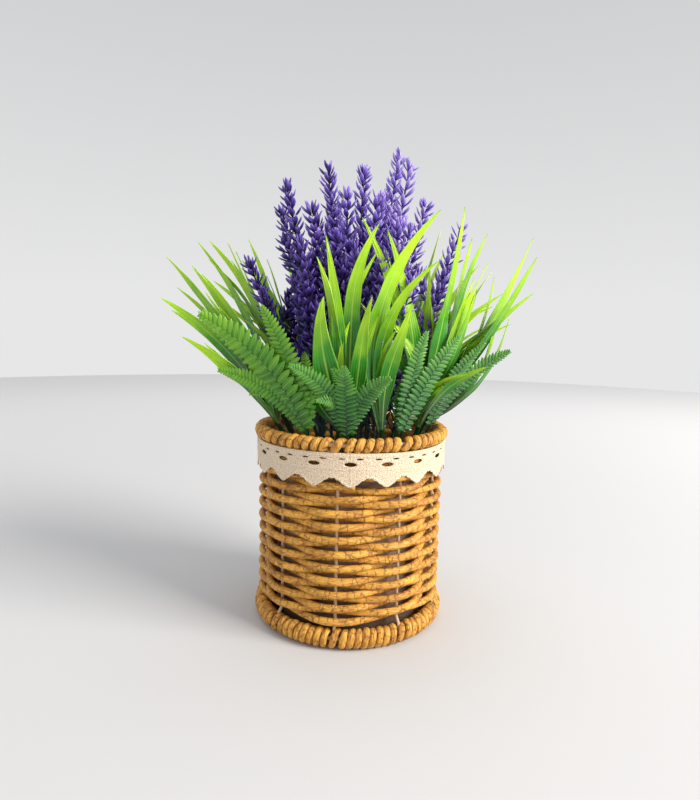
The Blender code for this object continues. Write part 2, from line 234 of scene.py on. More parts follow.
def mottled(name, dark, pale, scale, roughness):
    """A plain finish that goes from a dark to a pale tone in soft patches, scale to a metre."""
    made, shader, add = new_material(name, roughness)
    place = add("TexCoord").outputs["Object"]
    patches = add("TexNoise", {"Vector": place, "Scale": scale, "Detail": 3.0})
    tint = add("Mix", {0: patches, 6: dark, 7: pale})
    finish(shader, tint)
    return made


def hoop_skin(hoop):
    """A wire ring at the hoop's radius and height."""
    azimuth = np.arange(144) * 2.5
    path = around(hoop[0], azimuth, hoop[1])
    outward = around(1.0, azimuth, 0.0)
    return skin(tube(path, outward, HOOP_RADIUS, HOOP_RADIUS, 10, loop=True), loop=True)


def upright_skin(azimuth):
    """A wire that stands on the stake circle. Between the weave and each hoop its radius eases
    from the circle's to the hoop's."""
    height = np.linspace(FOOT_HOOP[1], RIM_HOOP[1], 60)
    low = np.clip((WEAVE_LOW - height) / (WEAVE_LOW - FOOT_HOOP[1] - FLARE_END), 0, 1)
    high = np.clip((height - WEAVE_HIGH) / (RIM_HOOP[1] - FLARE_END - WEAVE_HIGH), 0, 1)
    radius = STAKE_CIRCLE + (FOOT_HOOP[0] - STAKE_CIRCLE) * ease(low)
    radius = radius + (RIM_HOOP[0] - STAKE_CIRCLE) * ease(high)
    path = around(radius, azimuth, height)
    side = np.broadcast_to(around(1.0, azimuth, 0.0), path.shape)
    return skin(tube(path, side, UPRIGHT_RADIUS, UPRIGHT_RADIUS, 10))


wires = [hoop_skin(RIM_HOOP), hoop_skin(FOOT_HOOP)]
wires += [upright_skin(FIRST_STAKE + 360 / STAKES * k) for k in range(STAKES)]
# Polyester powder coat on drawn steel wire: matt beige, slightly uneven.
coating = mottled("beige_coated_wire", "#b4936c", "#dcc2a0", 250.0, roughness=0.45)
add_piece("frame_wires", wires, coating, ["wire_frame"])

# -------- woven wall
# Twisted kraft paper rope, 3.7 mm thick, printed in golden straw with brown veins. One length
# is woven up the uprights, outside one and inside the next, and a second goes on near the rim.

ROPE_RADIUS = 1.85
ROW_PITCH = 3.4  # rise of the weave in one turn
WEAVE_REACH = 2.9  # how far the rope's middle stands off the stake circle at an upright
WOVEN_JOIN = 81.6  # height at which the second length goes on
JOIN_GAP = 0.3
TWIST_LAY = 14.0  # mm along the rope for one turn of its twist
SEED = 33


def slow_noise(count, step, rng):
    """Smooth random numbers about 0, one for each of count points, that turn every step."""
    knots = rng.normal(size=count // step + 4)
    place = np.arange(count) / step + 1
    cell = place.astype(int)
    share = ease(place - cell)
    return knots[cell] * (1 - share) + knots[cell + 1] * share


def run_along(path):
    """The distance along a path at each of its points."""
    step = np.linalg.norm(np.diff(path, axis=0), axis=1)
    return np.concatenate([[0], np.cumsum(step)])


def rope_rings(path, inward, wide, deep, rng, points, loop=False):
    """Rope rings along a path. Two strands' ridges turn round the rope once in TWIST_LAY, and
    small lumps come and go, so the radius varies by a few hundredths."""
    run = run_along(path)
    rings = tube(path, inward, wide, deep, points, loop)
    ridge = 0.035 * np.cos(2 * (full_turn(points) - 2 * np.pi * run[:, None] / TWIST_LAY))
    lump = 0.03 * slow_noise(len(path), 5, rng)[:, None]
    off = rings - path[:, None]
    return path[:, None] + off * (1 + ridge + lump)[..., None], run


def weave_skin(low, high, rng):
    """The rope's way up the wall. At the azimuth t past an upright its middle stands off the
    stake circle by WEAVE_REACH * cos(9t / 2), and it climbs ROW_PITCH in each turn. It is
    squeezed flatter where it crosses the rows above and below."""
    first = (low - WEAVE_LOW) / ROW_PITCH * 360
    last = (high - WEAVE_LOW) / ROW_PITCH * 360
    turned = np.arange(first, last, 2.5)
    wave = np.cos(np.radians(turned) * STAKES / 2)
    count = len(turned)
    radius = STAKE_CIRCLE + WEAVE_REACH * wave + 0.12 * slow_noise(count, 12, rng)
    height = WEAVE_LOW + ROW_PITCH * turned / 360 + 0.16 * slow_noise(count, 16, rng)
    path = around(radius, FIRST_STAKE + turned, height)
    inward = -around(1.0, FIRST_STAKE + turned, 0.0)
    tall = ROPE_RADIUS * (0.93 + 0.09 * wave**2)
    rings, run = rope_rings(path, inward, ROPE_RADIUS * 0.97, tall, rng, 14)
    return skin(rings, along=run, girth=2 * np.pi * ROPE_RADIUS)


def paper_rope(name, straw, honey):
    """Twisted kraft paper: matt, with brown veins that cross the rope every 4 to 5 mm where the
    printed paper creased, and fine fibres along the twist."""
    made, shader, add = new_material(name, 0.58)
    run = add("UVMap", uv_map="run").outputs[0]
    wander = add("TexNoise", {"Vector": run, "Scale": 0.55, "Detail": 2.0})
    bent_run = add(
        "VectorMath", (wander.outputs["Color"], (2.6, 2.6, 0.0), run), operation="MULTIPLY_ADD"
    )
    creased = add(
        "Mapping", {"Vector": bent_run, "Rotation": (0, 0, 0.5), "Scale": (0.25, 0.085, 1.0)}
    )
    cells = add(
        "TexVoronoi",
        {"Vector": creased, "Scale": 1.0, "Randomness": 1.0},
        feature="DISTANCE_TO_EDGE",
        voronoi_dimensions="2D",
    )
    vein = add("MapRange", (cells, 0.0, 0.1, 1.0, 0.0), interpolation_type="SMOOTHSTEP")
    patch = add("TexNoise", {"Vector": run, "Scale": 0.22, "Detail": 1.0})
    broken = add("MapRange", (patch, 0.34, 0.54))
    veins = add("Math", (vein, broken), operation="MULTIPLY")
    fibre_run = add(
        "Mapping", {"Vector": run, "Rotation": (0, 0, 0.55), "Scale": (0.35, 2.6, 1.0)}
    )
    fibre = add("TexNoise", {"Vector": fibre_run, "Scale": 1.0, "Detail": 3.0})
    tone = add("TexNoise", {"Vector": run, "Scale": 0.06, "Detail": 3.0})
    mixed = add("Math", (tone, 0.6, fibre), operation="MULTIPLY_ADD")
    share = add("MapRange", (mixed, 0.57, 1.0))
    paper = add("Mix", {0: share, 6: honey, 7: straw})
    inked = add("MapRange", (veins, 0.0, 1.0, 0.0, 0.78))
    surface = add("Mix", {0: inked, 6: paper, 7: "#74400f"})
    relief = add("Math", (veins, -1.2, fibre), operation="MULTIPLY_ADD")
    finish(shader, surface, relief, 0.55, 0.0004)
    return made


rope = paper_rope("printed_paper_rope", "#f2b84c", "#88480a")
rng = np.random.default_rng(SEED)
lower = weave_skin(WEAVE_LOW - ROW_PITCH / 2, WOVEN_JOIN, rng)
upper = weave_skin(WOVEN_JOIN + JOIN_GAP, WEAVE_HIGH + ROW_PITCH, rng)
add_piece("woven_wall", [lower], rope, ["weaver_lower"])
add_piece("woven_collar", [upper], rope, ["weaver_upper"])

# -------- wound rim and foot
# The same rope wound tightly on each hoop, squeezed to 2.7 by 4 mm. In each bay between two
# uprights it makes a few straight turns and then one long slanting turn across the upright.

WOUND_THICK = 1.35  # half the rope's thickness off the hoop
RIM_WIDE = 1.95  # half the rope's width along the hoop
FOOT_WIDE = 1.74
RIM_HALF = (3.7, 3.7)  # half width and half height of the winding
FOOT_HALF = (4.0, 5.0)
STEPS_PER_TURN = 20


def winding_skin(hoop, half, wide, turns, slant, uneven, rng):
    """Rope wound on a hoop. Its angle about the hoop's wire grows evenly, and in each turn it
    moves on by one rope width, but by slant widths in the turn that crosses an upright. Every
    second turn reaches higher by the share uneven."""
    widths = np.tile(np.append(np.ones(turns), slant), STAKES)
    places = np.append(0, np.cumsum(widths)) / widths.sum() * 360
    places = places - (places[turns] + places[turns + 1]) / 2 + FIRST_STAKE
    turn = np.arange(STAKES * (turns + 1) * STEPS_PER_TURN) / STEPS_PER_TURN
    azimuth = np.interp(turn, np.arange(len(places)), places)
    angle = 2 * np.pi * turn + np.pi
    odd = 1 + uneven * np.cos(np.pi * np.floor(turn)) * (np.sin(angle) > 0) * np.sin(angle)
    out = (half[0] - WOUND_THICK) * np.cos(angle)
    up = (half[1] - WOUND_THICK) * np.sin(angle) * odd
    path = around(hoop[0] + out, azimuth, hoop[1] + up)
    off_wire = unit(path - around(np.full_like(turn, hoop[0]), azimuth, hoop[1]))
    thick = WOUND_THICK * (1 + 0.05 * slow_noise(len(turn), 9, rng))
    rings, run = rope_rings(path, off_wire, thick, wide, rng, 12, loop=True)
    return skin(rings, loop=True, along=run, girth=2 * np.pi * WOUND_THICK)


rim = winding_skin(RIM_HOOP, RIM_HALF, RIM_WIDE, 6, slant=1.7, uneven=0.0, rng=rng)
foot = winding_skin(FOOT_HOOP, FOOT_HALF, FOOT_WIDE, 8, slant=1.6, uneven=0.07, rng=rng)
add_piece("wound_rim", [rim], rope, ["rim_wrap"])
add_piece("wound_foot", [foot], rope, ["base_wrap"])

# -------- floor and foam plug
# A 2.5 mm paperboard disc closes the bottom. On it stands a plug of dry foam in a thin mauve
# beige sleeve, which shows through the weave. The stems are pushed into its top.

FLOOR_LOW, FLOOR_HIGH, FLOOR_RADIUS = 0.0, 2.5, 43.4
FOAM_LOW, FOAM_TOP, FOAM_RADIUS = 2.8, 82.0, 40.3
FOLDED_FROM = 38.0  # radius over which the foam's sleeve has folds


def lathe_skin(profile, columns, wobble=0.0, rng=None):
    """A turned solid: the profile's radius and height carried once round Z, from the bottom's
    middle to the top's. With a wobble, the side's radius has soft upright folds."""
    azimuth = 360 * np.arange(columns) / columns
    radius = np.broadcast_to(profile[:, :1], (len(profile), columns)).copy()
    if wobble:
        for waves in (7, 11, 17):
            lean = rng.uniform(0, 360) + profile[:, 1:] * rng.uniform(-1.5, 1.5)
            fold = 1 + np.cos(np.radians(waves * azimuth + lean))
            radius -= wobble * fold * (radius > FOLDED_FROM) / 3
    return skin(around(radius, azimuth, profile[:, 1:]))


def rounded_disc(radius, low, high, edge, rows=14):
    """The profile of a disc or drum with rounded edges: out, up the side and back in."""
    turn = np.radians(np.linspace(0, 90, 5))
    out, off = radius - edge + edge * np.sin(turn), edge - edge * np.cos(turn)
    back, up = radius - edge + edge * np.cos(turn), edge * np.sin(turn) - edge
    heights = np.linspace(low + edge, high - edge, rows + 2)[1:-1]
    inner = np.array([0.02, 0.25, 0.5, 0.75, 0.92]) * radius
    parts = [(inner, low), (out, low + off), (radius, heights), (back, high + up)]
    parts.append((inner[::-1], high))
    return np.concatenate([np.stack(np.broadcast_arrays(*part), 1) for part in parts])


def foam_finish(name, pale, dark, pore):
    """Blown foam in a thin sleeve, or pressed board: matt, pitted by cells pore mm wide, and
    darkened over its lowest 30 mm by painted shade."""
    made, shader, add = new_material(name, 0.95)
    place = add("TexCoord").outputs["Object"]
    cells = add("TexVoronoi", {"Vector": place, "Scale": 1000 / pore})
    cloud = add("TexNoise", {"Vector": place, "Scale": 45.0, "Detail": 4.0})
    tint = add("Mix", {0: cloud, 6: dark, 7: pale})
    height = add("SeparateXYZ", {0: place}).outputs["Z"]
    # Painted shade: the lowest 30 mm go towards dark brown, as where the foot shades the plug.
    painted_shade_low = add("MapRange", (height, 0.006, 0.03, 0.85, 0.0))
    shaded_low = add("Mix", {0: painted_shade_low, 6: tint, 7: "#3c2a1e"})
    finish(shader, shaded_low, cells, 0.5, 0.0005)
    return made


board = lathe_skin(rounded_disc(FLOOR_RADIUS, FLOOR_LOW, FLOOR_HIGH, 0.6, 3), 96)
board_finish = foam_finish("grey_paperboard", "#9a8266", "#7d664c", 0.8)
add_piece("floor_board", [board], board_finish, ["floor_disc"])
plug = lathe_skin(rounded_disc(FOAM_RADIUS, FOAM_LOW, FOAM_TOP, 2.0), 144, 0.35, rng)
foam_skin = foam_finish("sleeved_dry_foam", "#c4a48e", "#8c6c58", 1.2)
add_piece("foam_plug", [plug], foam_skin, ["foam_block"])

# -------- lace band
# A cotton crochet lace, 319 mm long and 16 mm deep, stretched round the weave under the rim.
# Its 18 scallops point down. Over each is a long eyelet, with two slits above it.

LACE_RADIUS = 50.75
LACE_TOP = 97.9
LACE_POINT = 81.6  # height of the scallops' points
LACE_VALLEY = 86.2
LACE_THICK = 0.55
SCALLOPS = 18
LACE_COLUMNS = 38  # to a scallop
LACE_ROWS = 42
EYELET = (0.0, 92.6, 3.0, 1.05)  # across the scallop, height, half length, half height
SLITS = ((-4.4, 95.1, 1.8, 0.42), (4.4, 95.1, 1.8, 0.42))


def lace_mesh():
    """The band as a grid of columns and rows. Each row runs from the scalloped edge to the
    straight one. The lower edge is a row of round arches that meet in points. A grid point
    beside a hole is moved out to the hole's ellipse, and the faces inside are left out. Cords,
    hem and stitches stand off the band. It also returns the area, in square metres."""
    columns = SCALLOPS * LACE_COLUMNS
    pitch = 2 * np.pi * LACE_RADIUS / SCALLOPS
    share = (np.arange(columns) % LACE_COLUMNS) / LACE_COLUMNS
    arch = 0.25 * np.sin(np.pi * share) + 0.75 * np.sin(np.pi * share) ** 2
    picot = 0.28 * np.cos(2 * np.pi * 7 * share) * np.sin(np.pi * share)
    edge = LACE_POINT + (LACE_VALLEY - LACE_POINT) * arch + picot
    rise = np.linspace(0, 1, LACE_ROWS)[:, None]
    height = edge + (LACE_TOP - edge) * rise
    across = np.broadcast_to(np.arange(columns) * pitch / LACE_COLUMNS, height.shape).copy()
    spot = np.arange(height.size).reshape(height.shape)
    quads = quads_between(spot[:-1], spot[1:])
    local = (across + pitch / 2) % pitch - pitch / 2
    beside_hole = np.zeros_like(height)
    gone = np.zeros(len(quads), bool)
    cell_across = local.ravel()[quads[:, 0]] + pitch / LACE_COLUMNS / 2
    cell_height = height.ravel()[quads].mean(1)
    for x, z, half_long, half_high in (EYELET, *SLITS):
        reach = np.hypot((local - x) / half_long, (height - z) / half_high)
        inside = np.hypot((cell_across - x) / half_long, (cell_height - z) / half_high) < 1
        gone |= inside
        touched, kept = np.zeros((2, height.size), bool)
        touched[quads[inside].ravel()] = True
        kept[quads[~gone].ravel()] = True
        border = (touched & kept).reshape(height.shape)
        pull = np.where(border, 1 / np.maximum(reach, 0.2), 1.0)
        across += (local - x) * (pull - 1)
        height = z + (height - z) * pull
        local = (across + pitch / 2) % pitch - pitch / 2
        beside_hole = np.maximum(beside_hole, np.exp(-(((reach - 1.35) / 0.3) ** 2)))
    stitch = np.sin(2 * np.pi * across / 1.5 + np.pi * np.floor(height / 1.1))
    stitch = 0.09 * stitch * np.sin(2 * np.pi * height / 2.2)
    cord = sum(
        size * np.exp(-(((height - level) / 0.5) ** 2)) for level, size in ((96.6, 1), (90.2, 0.8))
    )
    hem = np.exp(-(((height - edge - 0.5) / 0.55) ** 2))
    off = stitch + 0.22 * cord + 0.28 * hem + 0.16 * beside_hole
    around_once = 2 * np.pi * across
    waves = np.sin(around_once / 53.15) + 0.6 * np.sin(around_once / 31.89 + 1)
    off = off + 0.2 * waves * (1 - rise)
    height = height + 0.2 * np.sin(around_once / 79.7 + 2) * rise
    azimuth = across / LACE_RADIUS * 180 / np.pi
    points = around(LACE_RADIUS + off, azimuth, height).reshape(-1, 3) / 1000
    quads = quads[~gone]
    used = np.unique(quads)
    renumber = np.zeros(len(points), int)
    renumber[used] = np.arange(len(used))
    mesh = bpy.data.meshes.new("cotton_lace")
    mesh.from_pydata(points[used].tolist(), [], renumber[quads].tolist())
    uv = np.stack([across.ravel(), height.ravel()], 1)[quads.ravel()]
    mesh.uv_layers.new(name="run").data.foreach_set("uv", uv.ravel())
    mesh.shade_smooth()
    corners = points[quads]
    diagonals = corners[:, 2] - corners[:, 0], corners[:, 3] - corners[:, 1]
    return mesh, float(np.linalg.norm(np.cross(*diagonals), axis=1).sum() / 2)


def cotton():
    """Mercerised cotton thread in chain stitch: matt cream, with loops of thread 0.6 mm apart, and
    painted shade that darkens the cream between the loops.
    """
    made, shader, add = new_material("cream_cotton", 0.9)
    shader.inputs["Sheen Weight"].default_value = 0.25
    run = add("UVMap", uv_map="run").outputs[0]
    wander = add("TexNoise", {"Vector": run, "Scale": 0.9, "Detail": 1.0})
    strayed = add(
        "VectorMath", (wander.outputs["Color"], (0.9, 0.9, 0.0), run), operation="MULTIPLY_ADD"
    )
    loops = add(
        "TexVoronoi", {"Vector": strayed, "Scale": 1.6, "Randomness": 0.6}, voronoi_dimensions="2D"
    )
    knit = add("MapRange", (loops, 0.15, 0.7, 1.0, 0.0))
    fluff = add("TexNoise", {"Vector": run, "Scale": 1.6, "Detail": 5.0})
    height = add("Math", (knit, 0.55, fluff), operation="MULTIPLY_ADD")
    share = add("MapRange", (height, 0.42, 0.92))
    # Painted shade: the low places between the loops take the darker cream.
    tint = add("Mix", {0: share, 6: "#b39776", 7: "#e9d6bb"})
    finish(shader, tint, height, 0.7, 0.0004)
    return made


lace_surface, lace_area = lace_mesh()
lace = bpy.data.objects.new("cotton_lace", lace_surface)
dress(lace, cotton(), ["lace_band"])
thread = lace.modifiers.new("thread", "SOLIDIFY")
thread.thickness = LACE_THICK / 1000
thread.offset = 0.0

# -------- lavender sprigs
# Seventeen sprigs of injection-moulded polyethylene on a dark sleeved stem. Crossed pairs of
# blunt florets, 4 mm apart, stand round the upper part and its side shoots, over low leaves.

# Each sprig's socket (x, y), then its tip (x, y, z).
LAVENDER = (
    ((-14, -4), (-37, -6, 231)), ((-16, 8), (-42, 14, 222)), ((-20, 0), (-57, -8, 192)),
    ((-6, 2), (-16, 4, 243)), ((-10, -10), (-23, -20, 218)), ((-3, -10), (-5, -16, 226)),
    ((2, 4), (4, 8, 243)), ((9, 2), (23, 6, 251)), ((11, -8), (27, -14, 240)),
    ((15, 2), (38, 4, 225)), ((19, -4), (57, -2, 212)), ((5, -14), (10, -26, 222)),
    ((-4, -18), (-10, -24, 204)), ((14, -20), (22, -21, 211)), ((-6, 14), (-14, 28, 234)),
    ((8, 14), (18, 30, 236)), ((-14, -18), (-27, -33, 199)),
)
SOCKET_DEPTH = 13.7
STEM_RADIUS = 1.05
SPRIG_POINTS = 60  # along a sprig's line
SPIKE_SHARE = 0.42  # where the florets begin
SHOOT_STARTS = (11, 15, 19, 23, 28, 33, 38)  # of the line's points
LOW_LEAVES = 26
WHORL_STEP = 3.9
TUFT = 6  # florets at a tip
PETAL_RINGS = 6
GOLDEN = 137.5  # degrees, the golden angle
UP = np.array([0.0, 0.0, 1.0])
SLANT = np.array([0.3, 1.0, 0.2])  # a direction that no stem runs along


def bent(start, end, bow, share):
    """The points at these shares of a parabola from start to end, whose middle stands off the
    chord by bow, upwards."""
    start, end = np.asarray(start, float), np.asarray(end, float)
    chord = unit(end - start)
    side = unit(UP - chord * chord[2])
    knee = (start + end) / 2 + side * 2 * bow
    t = np.asarray(share)[:, None]
    return start * (1 - t) ** 2 + knee * 2 * t * (1 - t) + end * t**2


def stem_skin(path, radius, reach=1.0):
    """A stem along a path, thinner towards its end. Its share mark goes from 0 to reach."""
    side = np.cross(headings(path), SLANT)
    share = np.linspace(0, 1, len(path))
    size = radius * (1 - 0.45 * share)
    rings = tube(path, side, size, size, 8)
    return skin(rings, share=reach * share[None, :, None], tone=0.5, luck=0.1)


def petals(root, ahead, out, length, width, lean, curl, share, luck):
    """Slender petals, one for each root. At the share t of its length a petal leans away from
    the ahead direction by the angle lean - curl * t, so it curves along it. It is thin at its
    foot, widest past its middle and blunt, and its faces bulge."""
    t = np.linspace(0, 1, PETAL_RINGS)
    angle = lean[:, None] - curl[:, None] * t
    step = length[:, None] / (PETAL_RINGS - 1)
    far = np.cumsum(np.sin(angle) * step, 1) - np.sin(angle[:, :1]) * step
    up = np.cumsum(np.cos(angle) * step, 1) - np.cos(angle[:, :1]) * step
    path = root[:, None] + far[..., None] * out[:, None] + up[..., None] * ahead[:, None]
    side = np.cross(ahead, out)
    lifted = np.cos(angle)[..., None] * out[:, None] - np.sin(angle)[..., None] * ahead[:, None]
    club = (0.2 + 0.8 * np.sin(np.pi * (0.94 * t) ** 1.3)) * (1 - 0.55 * t**5)
    half = (width[:, None] / 2 * club)[..., None, None]
    turn = full_turn(6)[:, None]
    across = half * np.cos(turn) * side[:, None, None]
    bulge = (0.1 + 0.32 * half) * np.sin(turn) + 0.2 * half * np.cos(turn) ** 2
    rings = path[:, :, None] - across + bulge * lifted[:, :, None]
    share, luck = share[:, None, None], luck[:, None, None]
    return skin(rings, share=share, tone=t[None, :, None], luck=luck)


def carried(at, run, path):
    """The points, and the directions of travel, at places along a path. The run gives the
    place of each of the path's own points."""
    middle, ahead = (
        np.stack([np.interp(at, run, column) for column in rows.T], 1)
        for rows in (path, headings(path))
    )
    return middle, unit(ahead)


def stand_on(path, at, turn):
    """Places at distances along a path: their points, the direction of travel, and the
    direction out of the path that has turned round it by each angle."""
    middle, ahead = carried(at, run_along(path), path)
    level = unit(np.cross(ahead, SLANT))
    other = np.cross(ahead, level)
    return middle, ahead, np.cos(turn)[:, None] * level + np.sin(turn)[:, None] * other


def low_leaves(path, rng):
    """The narrow leaves on the lower part of a sprig, spread evenly by the golden angle."""
    far = run_along(path)[-1]
    at = np.linspace(0.15, 0.98, LOW_LEAVES) * far
    places = stand_on(path, at, np.radians(GOLDEN) * np.arange(LOW_LEAVES))
    length = rng.uniform(9, 14, LOW_LEAVES)
    width = rng.uniform(2.0, 2.8, LOW_LEAVES)
    lean = np.radians(rng.uniform(24, 46, LOW_LEAVES))
    curl = np.radians(rng.uniform(-20, 20, LOW_LEAVES))
    luck = rng.uniform(0, 1, LOW_LEAVES)
    return petals(*places, length, width, lean, curl, at / far, luck)


def spike_skin(path, rng, paleness_and_painted_light, bushy=1.0):
    """The florets along a path: two crossed pairs to a whorl, smaller towards the top, some
    loose ones between the whorls, and a tuft of slim ones at the tip. How pale the florets
    are, from 0 to 1, is given: a random dye tone plus painted light, paler for sprigs further
    right and higher."""
    far = run_along(path)[-1]
    step = WHORL_STEP * rng.uniform(0.92, 1.08)
    whorls = np.arange(1.5, far - 6.0, step)
    at = np.repeat(whorls, 4) + rng.normal(0, 0.35, 4 * len(whorls))
    turn = np.pi / 2 * np.arange(len(at)) + np.pi / 4 * np.repeat(np.arange(len(whorls)), 4)
    turn = turn + rng.normal(0, 0.18, len(turn))
    loose = rng.uniform(1.0, far - 6.0, len(whorls) // 2)
    tuft = far - rng.uniform(4.0, 8.0, TUFT)
    at = np.clip(np.concatenate([at, loose, tuft]), 0.3, far - 3)
    turn = np.concatenate([turn, rng.uniform(0, 2 * np.pi, len(loose) + TUFT)])
    middle, ahead, out = stand_on(path, at, turn)
    share = at / far
    count = len(at)
    size = bushy * (1.06 - 0.24 * share**2) * (0.75 + 0.25 * np.clip(share / 0.12, 0, 1))
    length = size * rng.uniform(6.8, 8.8, count)
    width = size * rng.uniform(2.4, 3.2, count)
    lean = np.radians(rng.uniform(50, 64, count) - 8 * share)
    curl = np.radians(rng.uniform(4, 30, count))
    slim = np.minimum(rng.uniform(5.5, 8.0, count), far - at + 1.0)
    length[-TUFT:] = slim[-TUFT:]
    width[-TUFT:] = 1.9
    lean[-TUFT:] = np.radians(rng.uniform(4, 40, count))[-TUFT:]
    curl[-TUFT:] = np.radians(rng.uniform(-6, 10, count))[-TUFT:]
    luck = np.clip(paleness_and_painted_light + rng.uniform(-0.35, 0.35, count), 0, 1)
    return petals(middle + 0.4 * out, ahead, out, length, width, lean, curl, share, luck)


def marks_of(add):
    """The outputs that read a skin's marks: share, tone and luck."""
    names = ("share", "tone", "luck")
    return [add("Attribute", attribute_name=name).outputs["Fac"] for name in names]


def fill_ramp(ramp, stops, colours):
    """Sets a new colour ramp's stops, from the first to the last."""
    for end in (0, -1):
        ramp.elements[end].position, ramp.elements[end].color = stops[end], linear(colours[end])
    for stop, code in zip(stops[1:-1], colours[1:-1]):
        ramp.elements.new(stop).color = linear(code)


def moulded_florets():
    """Dyed polyethylene, moulded: satin. A floret goes from navy at its foot to violet and to
    lilac at its tip, and the lowest of each spike keep the green of the mould's other shot."""
    made, shader, add = new_material("violet_polyethylene", 0.42)
    share, tone, chance = marks_of(add)
    place = add("TexCoord").outputs["Object"]
    cloud = add("TexNoise", {"Vector": place, "Scale": 900.0, "Detail": 2.0})
    # The luck mark holds painted light as well as the dye's random tone: florets on sprigs further
    # right and higher are paler.
    shade = add("Math", (chance, 0.75, tone), operation="MULTIPLY_ADD")
    shade = add("Math", (cloud, 0.35, shade), operation="MULTIPLY_ADD")
    reach = add("MapRange", (shade, 0.0, 1.85))
    bloom = add("ValToRGB", {"Fac": reach})
    violets = ("#150b2a", "#2c1c5c", "#4a3290", "#7a5fc4", "#ab98d8")
    fill_ramp(bloom.color_ramp, (0.12, 0.3, 0.5, 0.72, 0.95), violets)
    low = add("Math", (chance, 0.16, share), operation="MULTIPLY_ADD")
    green = add("MapRange", (low, 0.06, 0.26, 0.85, 0.0))
    tint = add("Mix", {0: green, 6: bloom, 7: "#1f4038"})
    finish(shader, tint, cloud, 0.25, 0.0003)
    return made


florets = moulded_florets()
# Polyethylene sleeve drawn over a steel core: satin, dark bluish green, with a fine grain.
sleeve = mottled("dark_green_sleeve", "#0b2226", "#24504a", 350.0, roughness=0.4)
rng = np.random.default_rng(SEED + 1)
for number, (socket, tip) in enumerate(LAVENDER, 1):
    ground = np.array([*socket, FOAM_TOP])
    line = bent(ground, tip, 3, np.linspace(0, 1, SPRIG_POINTS))
    buried = ground - [[0, 0, SOCKET_DEPTH], [0, 0, SOCKET_DEPTH / 2]]
    split = int(SPRIG_POINTS * SPIKE_SHARE)
    stem = stem_skin(np.concatenate([buried, line[: split + 1]]), STEM_RADIUS)
    # Painted light: sprigs further right and higher get paler florets, as if lit by the key light
    # at the right; the random part is the dye's own tone.
    paleness_and_painted_light = 0.52 + tip[0] / 110 + (tip[2] - 220) / 140 + rng.uniform(-0.3, 0.3)
    spikes = [stem_skin(line[split:-4], 0.85), spike_skin(line[split:], rng, paleness_and_painted_light)]
    swing = rng.uniform(0, 360)
    for start in SHOOT_STARTS:
        swing += GOLDEN
        rise = min(40, (tip[2] - line[start, 2]) * rng.uniform(0.5, 0.66))
        away = around(rise * rng.uniform(0.3, 0.45), swing, rise)
        shoot = bent(line[start], line[start] + away, -2.0, np.linspace(0, 1, 24))
        spikes.append(stem_skin(shoot, 0.6))
        spikes.append(spike_skin(shoot[4:], rng, paleness_and_painted_light - 0.1, bushy=0.85))
    label = f"sprig_{number:02d}"
    leafy = [stem, low_leaves(line[4 : split + 4], rng)]
    add_piece(label + "_stem", leafy, sleeve, [f"lavender_stem_{number:02d}"])
    nodes = [f"lavender_spike_{number:02d}"]
    add_piece(label + "_florets", spikes, florets, nodes)

# -------- grass picks
# Ten bunches of moulded polyethylene grass. Broad ribbed blades leave a crown over each stem,
# dark green below and yellow green at the tips, and thinner ones fill the bunch.

# Each pick's socket (x, y) and crown (x, y, z), then each blade's tip (x, y, z), width and bow.
GRASS = {
    "left_front": ((-24, -12), (-38, -19, 106), (
        (-96, -14, 190, 8, 5), (-86, -4, 187, 7, 4), (-97, -20, 169, 8, 6), (-84, -30, 150, 7, 4),
        (-52, -24, 150, 8, -3),
    )),
    "left_back": ((-26, 8), (-38, 6, 106), (
        (-88, 16, 202, 7, 6), (-77, -2, 200, 9, 10), (-97, 6, 176, 7, 5), (-73, 24, 203, 6, 6),
        (-60, 18, 204, 5, 6),
    )),
    "front_left": ((-8, -30), (-6, -38, 108), (
        (-14, -47, 170, 11, -4), (-18, -36, 189, 6, 3), (-14, -36, 199, 6, 3),
    )),
    "front_mid": ((2, -26), (0, -34, 106), ((11, -36, 205, 9, 7), (8, -54, 170, 7, 3))),
    "front_right": ((13, -30), (15, -37, 106), ((39, -40, 211, 11, 15), (27, -46, 168, 7, 4))),
    "right_front": ((28, -14), (34, -24, 106), (
        (54, -18, 217, 8, -2), (3, -34, 208, 6, 7), (15, -32, 203, 7, 5), (61, -4, 204, 8, -2),
        (69, -10, 191, 8, 2), (64, -40, 139, 6, 5),
    )),
    "right_back": ((28, 6), (40, -4, 106), (
        (95, 2, 206, 10, -4), (93, -12, 194, 7, -2), (94, -6, 176, 7, 6), (74, 18, 210, 7, 4),
        (80, 30, 190, 7, 6),
    )),
    "back_left": ((-16, 26), (-26, 34, 106), (
        (-70, 50, 196, 8, 8), (-48, 62, 206, 8, 10), (-84, 36, 182, 7, 8), (-20, 48, 212, 6, 6),
    )),
    "back_mid": ((4, 30), (6, 40, 106), (
        (0, 72, 190, 8, 8), (20, 66, 206, 8, 8), (-12, 56, 210, 6, 6), (36, 60, 184, 7, 8),
    )),
    "back_right": ((22, 24), (31, 28, 106), (
        (76, 46, 196, 8, 8), (56, 60, 204, 8, 8), (88, 34, 178, 7, 8), (50, 36, 214, 6, 6),
    )),
}
GRASS_STEM = 2.2
BLADE_RINGS = 44
LEAF_CREASE = 40  # degrees
BACK_ROW = 30  # a leaf whose tip has a higher y is at the back


def thin_section(angle):
    """The height of a thin section with full edges: 3 * sin(a), held between -1 and 1."""
    return np.sign(np.sin(angle)) * np.minimum(1, 3 * np.abs(np.sin(angle)))


def outward_of(tip):
    """The level direction from the middle of the basket to a tip."""
    return unit(np.array([tip[0], tip[1], 0.0]) + 1e-6)


def facing_of(tip):
    """Where a leaf's face looks: outwards, a little up, and to the front if it isn't behind."""
    return outward_of(tip) + np.array([0, -0.6 if tip[1] < BACK_ROW else 0, 0.3])


